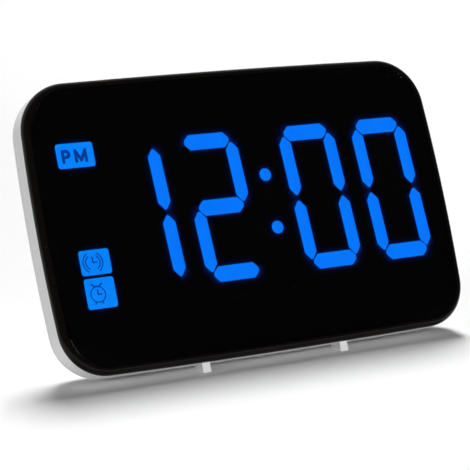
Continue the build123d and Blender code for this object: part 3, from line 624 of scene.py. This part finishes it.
def pmSign():
    # two wide capitals drawn with one thick stroke
    look, rise = tileLook["pm"], tileLook["signHeight"]
    line = look["line"]
    tall = look["height"] - line
    bowl = tall * look["bowl"]
    left, first = look["columns"]
    turnX = left + look["widths"][0] - line - bowl
    last = first + look["widths"][1] - line
    valley = ((first + last) / 2, line * look["valley"])
    strokes = [((x, 0), (x, tall)) for x in (left, first, last)]
    strokes += [((left, y), (turnX, y)) for y in (tall, tall - 2 * bowl)]
    strokes += [((x, tall), valley) for x in (first, last)]
    bm = strokesFrom(strokes, line, rise)
    joinInto(bm, arcStroke(bowl, line, rise, -pi / 2, pi), at(turnX, tall - bowl))
    bmesh.ops.translate(bm, vec=(line / 2, -tall / 2, 0), verts=bm.verts)
    return bm


def chimeSign():
    # a clock's hands between two pairs of sound waves
    look, rise = tileLook["chime"], tileLook["signHeight"]
    bm = bmesh.new()
    handsInto(bm, look["hands"], tileLook["handLine"], rise)
    for radius in look["rings"]:
        for facing in (0, pi):
            start = facing - look["sweep"] / 2
            joinInto(bm, arcStroke(radius, look["line"], rise, start, look["sweep"]))
    return bm


def alarmSign():
    # a round alarm clock with two ears and two feet
    look, rise = tileLook["alarm"], tileLook["signHeight"]
    ring, line = look["ring"], look["line"]
    bm = bmesh.new()
    handsInto(bm, look["hands"], tileLook["handLine"], rise)
    joinInto(bm, arcStroke(ring, line, rise))
    for side in (-1, 1):
        for label in ("ear", "foot"):
            ends = [(side * ring * x, ring * y) for x, y in look[label]]
            joinInto(bm, barStroke(*ends, line * look[label + "Width"], rise))
    x, y = (ring * share for share in look["bridge"])
    joinInto(bm, barStroke((-x, y), (x, y), line, rise))
    return bm


for label, makeSign in (("pm", pmSign), ("chime", chimeSign), ("alarm", alarmSign)):
    low, high = faceBox(label + "_indicator")
    centre = middle(low, high)
    corners = ((low.x, low.y), (high.x, low.y), (high.x, high.y), (low.x, high.y))
    front = high.z + digitLook["proud"]
    bm = bmesh.new()
    plate = plateFrom(corners, high.z - low.z, range(4), tileLook["cornerRadius"])
    joinInto(bm, plate, at(0, 0, front))
    addPiece(label + "Tile", bm, [tileBlue], "case", faceMatrix, (label + "_indicator",))
    pieceFinishes[label + "_indicator"] = tileBlue
    shift = tileLook[label]["shift"]
    bm = bmesh.new()
    joinInto(bm, makeSign(), at(centre.x + shift[0], centre.y + shift[1], front))
    addPiece(label + "Sign", bm, [glyphBlue], "case", faceMatrix)
    half = (high.y - low.y) / 2
    litShapes.append((Vector((low.x + half, centre.y)), Vector((high.x - half, centre.y)), half))
print("tiles lit")

# Mask behind the lens: black, with a painted glow round the lit shapes, an emission on the mask itself that
# fades away from them
maskLook = {
    "cell": 0.0006, "paintedGlowReach": 0.0005, "paintedGlowColour": (0.0, 0.006, 0.06), "paintedGlowStrength": 3.5,
    "dark": (0.0005, 0.0005, 0.0005), "light": (0.0014, 0.0014, 0.0016),
    "grain": 1400.0, "cloud": 60.0, "rough": 0.8, "specular": 0.05,
}


def paintedGlowLevel(x, y):
    # painted glow: one on a lit shape, and less with the distance from the nearest
    spot = Vector((x, y))
    gaps = []
    for first, second, half in litShapes:
        along = second - first
        share = 0.0
        if along.length_squared > 0:
            share = max(0.0, min(1.0, (spot - first).dot(along) / along.length_squared))
        gaps.append((spot - first - along * share).length - half)
    return exp(-max(min(gaps), 0.0) / maskLook["paintedGlowReach"])


low, high = faceBox("display_mask")
span = high - low
bm = bmesh.new()
columns, rows = (round(size / maskLook["cell"]) for size in span.xy)
bmesh.ops.create_grid(
    bm, x_segments=columns, y_segments=rows, size=0.5,
    matrix=at(*middle(low, high).xy, high.z) @ Matrix.Diagonal((span.x, span.y, 1, 1)),
)
paintedGlowLayer = bm.verts.layers.float.new("paintedGlow")
for vert in bm.verts:
    vert[paintedGlowLayer] = paintedGlowLevel(vert.co.x, vert.co.y)
thicken(bm, span.z)
bmesh.ops.recalc_face_normals(bm, faces=bm.faces)
maskBlack, tree, shader = newFinish("maskBlack")
grain = placeGroup(tree, grainGroup, Grain=maskLook["grain"], Cloud=maskLook["cloud"])
blendColour(tree, grain.outputs["Tone"], maskLook["dark"], maskLook["light"], shader.inputs["Base Color"])
paintedGlow = addNode(tree, "Attribute", attribute_name="paintedGlow")
# painted glow: the mask gives off blue light of its own round the lit shapes
blendColour(tree, paintedGlow.outputs["Fac"], (0, 0, 0), maskLook["paintedGlowColour"], shader.inputs["Emission Color"])
shader.inputs["Emission Strength"].default_value = maskLook["paintedGlowStrength"]
shader.inputs["Roughness"].default_value = maskLook["rough"]
shader.inputs["Specular IOR Level"].default_value = maskLook["specular"]
addPiece("displayMask", bm, [maskBlack], "case", faceMatrix, ("display_mask",))
pieceFinishes["display_mask"] = maskBlack
print("mask glows")

# Case screws: pan heads with a cross recess
screwLook = {
    "headRadius": 0.0025, "headHeight": 0.0018, "shaftRadius": 0.00125,
    "rim": 0.0005, "rimTurn": 0.7,    # the rim's first step goes out by this share and down by the rest
    "crossLength": 0.0030, "crossWidth": 0.0008, "crossDepth": 0.0009, "crossTaper": 0.7, "sides": 40,
}
screwSteel = metalFinish("screwSteel", {
    "dark": (0.45, 0.45, 0.46), "light": (0.64, 0.64, 0.65), "streak": 2500.0, "along": 2500.0,
    "rough": (0.22, 0.42), "bump": 0.00001,
})


def growLoop(part, edges, scale, drop):
    # carries a loop of edges on to a new loop, scaled about its own axis and lowered
    grown = bmesh.ops.extrude_edge_only(part, edges=edges)["geom"]
    verts = [item for item in grown if isinstance(item, bmesh.types.BMVert)]
    bmesh.ops.scale(part, vec=(scale, scale, 1), verts=verts)
    bmesh.ops.translate(part, vec=(0, 0, -drop), verts=verts)
    return [item for item in grown if isinstance(item, bmesh.types.BMEdge)]


def crossScrew(shaftLength):
    # its axis along z, with the top of the head at zero
    look = screwLook
    part = bmesh.new()
    topRadius = look["headRadius"] - look["rim"]
    bmesh.ops.create_circle(part, cap_ends=False, segments=look["sides"], radius=topRadius)
    rimEdges = part.edges[:]
    long, short = look["crossLength"] / 2, look["crossWidth"] / 2
    arm = [Vector(corner) for corner in ((long, -short), (long, short), (short, short))]
    turns = [Matrix.Rotation(quarter * pi / 2, 2) for quarter in range(4)]
    cross = [part.verts.new((*(turn @ corner), 0)) for turn in turns for corner in arm]
    crossEdges = [part.edges.new((cross[index - 1], cross[index])) for index in range(len(cross))]
    bmesh.ops.triangle_fill(part, use_beauty=True, edges=crossEdges + rimEdges, normal=(0, 0, 1))
    floorEdges = growLoop(part, crossEdges, look["crossTaper"], look["crossDepth"])
    bmesh.ops.contextual_create(part, geom=floorEdges)
    # over the rim in two steps, down the head's side, in to the shaft and down to its end
    out = look["rimTurn"] * look["rim"]
    steps = (
        (topRadius + out, look["rim"] - out),
        (look["headRadius"], out),
        (look["headRadius"], look["headHeight"] - look["rim"]),
        (look["shaftRadius"], 0),
        (look["shaftRadius"], shaftLength),
    )
    edges, radius = rimEdges, topRadius
    for nextRadius, drop in steps:
        edges = growLoop(part, edges, nextRadius / radius, drop)
        radius = nextRadius
    bmesh.ops.contextual_create(part, geom=edges)
    return part


low, high = boxIn("case_screws", backTurn)
inset = screwLook["headRadius"]
bm = bmesh.new()
for x in (low.x + inset, high.x - inset):
    for y in (low.y + inset, high.y - inset):
        joinInto(bm, crossScrew(high.z - low.z - screwLook["headHeight"]), at(x, y, high.z))
addPiece("crossScrews", bm, [screwSteel], "case", backTurn, ("case_screws",), smooth=True)
pieceFinishes["case_screws"] = screwSteel
print("screws in")

# Battery cells: wrapped cans with a contact nub, the middle one turned round
cellLook = {
    "length": 0.0437, "nubRadius": 0.0019, "nubLength": 0.0008, "edge": 0.0004, "nubEdge": 0.0003,
    "wrapLip": 0.0009, "band": 0.0115, "sides": 64, "merge": 1e-7,
}
cellWrap = mouldedFinish("cellWrap", {
    "dark": (0.012, 0.013, 0.016), "light": (0.035, 0.037, 0.043), "grain": 1200.0, "cloud": 60.0,
    "rough": (0.2, 0.35), "bump": 0.00001,
})
cellBand = mouldedFinish("cellBand", {
    "dark": (0.42, 0.20, 0.07), "light": (0.62, 0.34, 0.14), "grain": 1200.0, "cloud": 60.0,
    "rough": (0.2, 0.35), "bump": 0.00001,
})
cellCan = metalFinish("cellCan", {
    "dark": (0.55, 0.54, 0.52), "light": (0.72, 0.71, 0.69), "streak": 2600.0, "along": 2600.0,
    "rough": (0.2, 0.36), "bump": 0.00001,
})
low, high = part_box("battery_cells")
cellRadius = (high.y - low.y) / 2
cellPitch = (high.z - low.z) / 2 - cellRadius


def wrappedCell():
    # spun about the x axis, flat end at zero, nub at the far end
    look = cellLook
    end, edge = look["length"], look["edge"]
    inner = cellRadius - look["wrapLip"]
    tip = end + look["nubLength"]
    profile = (
        (edge / 2, 0), (edge / 2, inner - edge / 2), (0, inner), (0, cellRadius - edge), (edge, cellRadius),
        (end - look["band"], cellRadius), (end - edge, cellRadius), (end, cellRadius - edge), (end, inner),
        (end - edge, inner - edge / 2), (end - edge, look["nubRadius"] + edge), (end, look["nubRadius"]),
        (tip - look["nubEdge"], look["nubRadius"]), (tip, look["nubRadius"] - look["nubEdge"]), (tip, 0),
    )
    part = bmesh.new()
    verts = [part.verts.new((x, radius, 0)) for x, radius in profile]
    edges = [part.edges.new(pair) for pair in zip(verts, verts[1:])]
    bmesh.ops.spin(
        part, geom=edges, cent=(0, 0, 0), axis=(1, 0, 0), angle=tau, steps=look["sides"],
        use_merge=True, use_duplicate=False,
    )
    bmesh.ops.remove_doubles(part, verts=part.verts, dist=look["merge"])
    for face in part.faces:
        spot = face.calc_center_median()
        if hypot(spot.y, spot.z) < inner:
            face.material_index = 2     # bare can
        elif spot.x > end - look["band"]:
            face.material_index = 1     # band
    return part


startX = high.x - cellLook["length"] - cellLook["nubLength"]
centre = middle(low, high)
bm = bmesh.new()
for row in (-1, 0, 1):
    placed = at(0, centre.y, centre.z + row * cellPitch)
    if row == 0:
        placed = placed @ Matrix.Rotation(pi, 4, "Z")
    joinInto(bm, wrappedCell(), placed @ at(startX, 0), None)
cellFinishes = [cellWrap, cellBand, cellCan]
addPiece("wrappedCells", bm, cellFinishes, "case", None, ("battery_cells",), smooth=True)
pieceFinishes["battery_cells"] = cellWrap
print("cells in")

# Signs on the rear keys, raised, and the words beside the slide switch, printed
keyLook = {
    "rise": 0.00012, "size": 0.0017, "line": 0.00055, "fineLine": 0.00044, "hands": (0.000935, 0.000765),
    "bell": {
        "crown": 0.001054, "crownUp": 0.000425, "skirt": 0.001394, "brimDown": 0.00102, "clapper": 0.000385,
    },
}
signWhite = mouldedFinish("signWhite", {
    "dark": (0.66, 0.66, 0.66), "light": (0.80, 0.80, 0.80),
    "grain": 2800.0, "rough": (0.4, 0.6), "bump": 0.00001,
})


def timeMark():
    bm = bmesh.new()
    joinInto(bm, arcStroke(keyLook["size"], keyLook["fineLine"], keyLook["rise"]))
    handsInto(bm, keyLook["hands"], keyLook["fineLine"], keyLook["rise"])
    return bm


def alarmMark():
    # a bell with its clapper
    bell, size, line, rise = keyLook["bell"], keyLook["size"], keyLook["fineLine"], keyLook["rise"]
    brimY = -bell["brimDown"]
    strokes = [((-size, brimY), (size, brimY))]
    strokes += [((side * bell["crown"], bell["crownUp"]), (side * bell["skirt"], brimY)) for side in (-1, 1)]
    bm = strokesFrom(strokes, line, rise)
    joinInto(bm, arcStroke(bell["crown"], line, rise, 0, pi), at(0, bell["crownUp"]))
    joinInto(bm, disc(bell["clapper"], rise), at(0, -size))
    return bm


def plusMark():
    size = keyLook["size"]
    strokes = [((-size, 0), (size, 0)), ((0, -size), (0, size))]
    return strokesFrom(strokes, keyLook["line"], keyLook["rise"])


def minusMark():
    size = keyLook["size"]
    return strokesFrom([((-size, 0), (size, 0))], keyLook["line"], keyLook["rise"])


for key, makeMark in (("time", timeMark), ("alarm", alarmMark), ("plus", plusMark), ("minus", minusMark)):
    low, high = boxIn(key + "_button", backTurn)
    bm = bmesh.new()
    joinInto(bm, makeMark(), at(*middle(low, high).xy, high.z))
    addPiece(key + "Mark", bm, [signWhite], key + "_key", backTurn)

wordLook = {
    "height": 0.0018, "width": 0.001116, "line": 0.00032, "rise": 0.00003, "step": 0.0019, "drop": 0.0040,
    "keyProud": 0.0007,    # how far the keys stand out of the back
    "places": {"OFF": 0.0012, "ON": -0.0052},
    # strokes on a square of one by one
    "letters": {
        "N": (((0, 0), (0, 1)), ((0, 1), (1, 0)), ((1, 0), (1, 1))),
        "F": (((0, 0), (0, 1)), ((0, 1), (1, 1)), ((0, 0.52), (0.8, 0.52))),
    },
}
wordDark = mouldedFinish("wordDark", {
    "dark": (0.03, 0.03, 0.03), "light": (0.07, 0.07, 0.07),
    "grain": 2400.0, "rough": (0.5, 0.7), "bump": 0.00001,
})
tall, wide = wordLook["height"], wordLook["width"]


def wordInto(bm, word, x, y, z):
    # centred on x, with its foot at y
    line, rise = wordLook["line"], wordLook["rise"]
    start = x - (len(word) - 1) * wordLook["step"] / 2 - wide / 2
    for index, letter in enumerate(word):
        left = start + index * wordLook["step"]
        if letter == "O":
            joinInto(bm, arcStroke(tall / 2, line, rise), at(left + wide / 2, y + tall / 2, z))
        else:
            strokes = wordLook["letters"][letter]
            lines = [[(across * wide, up * tall) for across, up in stroke] for stroke in strokes]
            joinInto(bm, strokesFrom(lines, line, rise), at(left, y, z))


low, high = boxIn("switch_knob", backTurn)
backZ = boxIn("time_button", backTurn)[1].z - wordLook["keyProud"]
bm = bmesh.new()
knob = middle(low, high)
for word, shift in wordLook["places"].items():
    wordInto(bm, word, knob.x + shift, knob.y - wordLook["drop"] - tall / 2, backZ)
addPiece("switchWords", bm, [wordDark], "case", backTurn)
print("signs on the back")

for name, finish in pieceFinishes.items():
    for slot in nodes[name].material_slots:
        slot.material = finish
print("finishes on", len(pieceFinishes), "solids of", len(nodes))

# Stage: a wide pale floor and a white backdrop
stageLook = {
    "floorSize": 12.0, "floorColour": (0.93, 0.93, 0.93), "floorShade": (0.916, 0.916, 0.916),
    "floorBounce": (0.38, 0.38, 0.38), "grain": 300.0, "cloud": 3.0, "rough": 0.9, "specular": 0.0,
    "worldLight": 0.02, "horizon": (-0.1, 0.3),
}


def rayMasks(tree):
    # the camera's rays, and those that gloss and glass send on
    rays = addNode(tree, "LightPath")
    mirrored = addMath(tree, "MAXIMUM", rays.outputs["Is Glossy Ray"], rays.outputs["Is Transmission Ray"])
    return rays.outputs["Is Camera Ray"], mirrored


bm = bmesh.new()
bmesh.ops.create_grid(bm, x_segments=1, y_segments=1, size=stageLook["floorSize"] / 2)
floorMesh = bpy.data.meshes.new("floor")
bm.to_mesh(floorMesh)
bm.free()
floor = bpy.data.objects.new("floor", floorMesh)
bpy.context.scene.collection.objects.link(floor)
floorPaper, tree, shader = newFinish("floorPaper")
grain = placeGroup(tree, grainGroup, Grain=stageLook["grain"], Cloud=stageLook["cloud"])
paper = blendColour(tree, grain.outputs["Tone"], stageLook["floorShade"], stageLook["floorColour"])
# pale to the camera, gloss and glass, and darker to the light that it throws back
seen = addMath(tree, "MAXIMUM", *rayMasks(tree))
blendColour(tree, seen, stageLook["floorBounce"], paper, shader.inputs["Base Color"])
shader.inputs["Roughness"].default_value = stageLook["rough"]
shader.inputs["Specular IOR Level"].default_value = stageLook["specular"]
floorMesh.materials.append(floorPaper)

world = bpy.data.worlds.new("studio")
world.use_nodes = True
bpy.context.scene.world = world
tree = world.node_tree
backdrop = tree.nodes["Background"]
# white to the camera, white behind the clock to gloss and glass, and dim as a light
cameraRays, mirrored = rayMasks(tree)
heading = addNode(tree, "SeparateXYZ", {"Vector": addNode(tree, "TexCoord").outputs["Generated"]})
behind = edgeMask(tree, heading.outputs["Y"], *stageLook["horizon"])
shown = addMath(tree, "MAXIMUM", cameraRays, addMath(tree, "MULTIPLY", mirrored, behind))
spread(tree, shown, stageLook["worldLight"], 1.0, backdrop.inputs["Strength"])
backdrop.inputs["Color"].default_value = (1, 1, 1, 1)


def standing(look):
    # turned to look in at the clock from an azimuth and an elevation
    turn = Matrix.Rotation(radians(look["azimuth"]), 4, "Z")
    return turn @ Matrix.Rotation(radians(90 - look["elevation"]), 4, "X")


# Soft lamps, given by where they stand round the clock
lampLook = {
    "behind": {"azimuth": 160.0, "elevation": 59.0, "strength": 3.4, "spread": 17.0},
    "front": {"azimuth": -8.0, "elevation": 2.0, "strength": 3.9, "spread": 16.0},
    "left": {"azimuth": -80.0, "elevation": 12.0, "strength": 1.25, "spread": 20.0},
}
for name, look in lampLook.items():
    lamp = bpy.data.lights.new(name + "Lamp", "SUN")
    lamp.energy = look["strength"]
    lamp.angle = radians(look["spread"])
    holder = bpy.data.objects.new(name + "Lamp", lamp)
    holder.visible_glossy = False
    holder.matrix_world = standing(look)
    bpy.context.scene.collection.objects.link(holder)

# Camera where the photograph was taken from
cameraLook = {
    "azimuth": -28.832, "elevation": 12.557, "distance": 0.60305, "right": -0.006039, "up": -0.008783,
    "lens": 142.79, "sensor": 36.0, "nearest": 0.01,
}
cameraData = bpy.data.cameras.new("camera")
cameraData.lens = cameraLook["lens"]
cameraData.sensor_width = cameraLook["sensor"]
cameraData.clip_start = cameraLook["nearest"]
camera = bpy.data.objects.new("camera", cameraData)
away = at(cameraLook["right"], cameraLook["up"], cameraLook["distance"])
camera.matrix_world = at(*faceCentre) @ standing(cameraLook) @ away
bpy.context.scene.collection.objects.link(camera)
bpy.context.scene.camera = camera
bpy.context.scene.view_settings.view_transform = "Standard"
print("stage, lamps and camera set")
